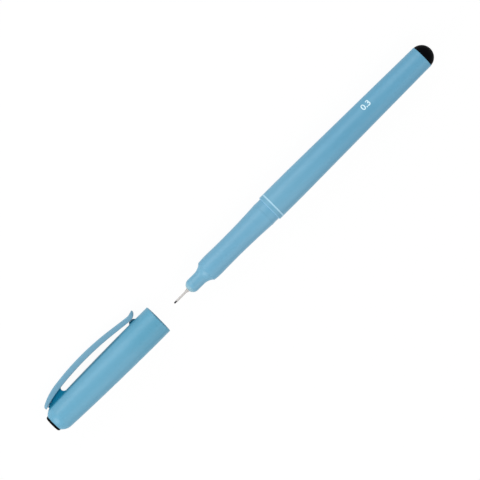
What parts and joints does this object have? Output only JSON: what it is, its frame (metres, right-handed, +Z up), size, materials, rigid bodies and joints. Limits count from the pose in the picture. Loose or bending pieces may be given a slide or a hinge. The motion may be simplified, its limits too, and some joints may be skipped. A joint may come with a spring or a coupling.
{
  "type": "fineliner pen",
  "caption": "Slim fineliner pen with a steel-sleeved point, waisted grip and tapered barrel, beside its pulled-off cap with a springy pocket clip.",
  "frame": {"origin": "on the pen's axis, at the middle of the barrel's cylindrical land just behind the shoulder", "axes": "+X along the pen from the writing point to the black end plug, +Z up, +Y to the side of the clip"},
  "size_m": [0.1961, 0.0164, 0.0122],
  "materials": {
    "blue_plastic": "moulded, soft gloss",
    "black_plastic": "moulded, soft gloss",
    "white_plastic": "matt, natural",
    "steel": "drawn steel, satin",
    "nib_plastic": "matt, inked",
    "ink_fibre": "bonded fibre, inked",
    "clear_film": "thin film"
  },
  "bodies": {
    "pen": {"barrel": "blue_plastic", "front_section": "blue_plastic", "nib_holder": "blue_plastic", "needle_sleeve": "steel", "nib": "nib_plastic", "feed_wick": "ink_fibre", "ink_reservoir": "ink_fibre", "reservoir_film": "clear_film", "end_plug": "black_plastic"},
    "cap": {"cap_shell": "blue_plastic", "inner_cap": "white_plastic", "cap_end_plug": "black_plastic"},
    "clip": {"clip": "blue_plastic"}
  },
  "joints": [
    {"name": "cap_slide", "type": "slide", "parent": "pen", "child": "cap", "axis": [1, 0, 0], "range_m": [0, 0.05735]},
    {"name": "clip_flex", "type": "hinge", "parent": "cap", "child": "clip", "pos_m": [-0.11575, 0.00515, -0.00239], "axis": [0, 0.4205, 0.9073], "range_deg": [0, 3.5], "stiffness_Nm_per_rad": 2}
  ]
}
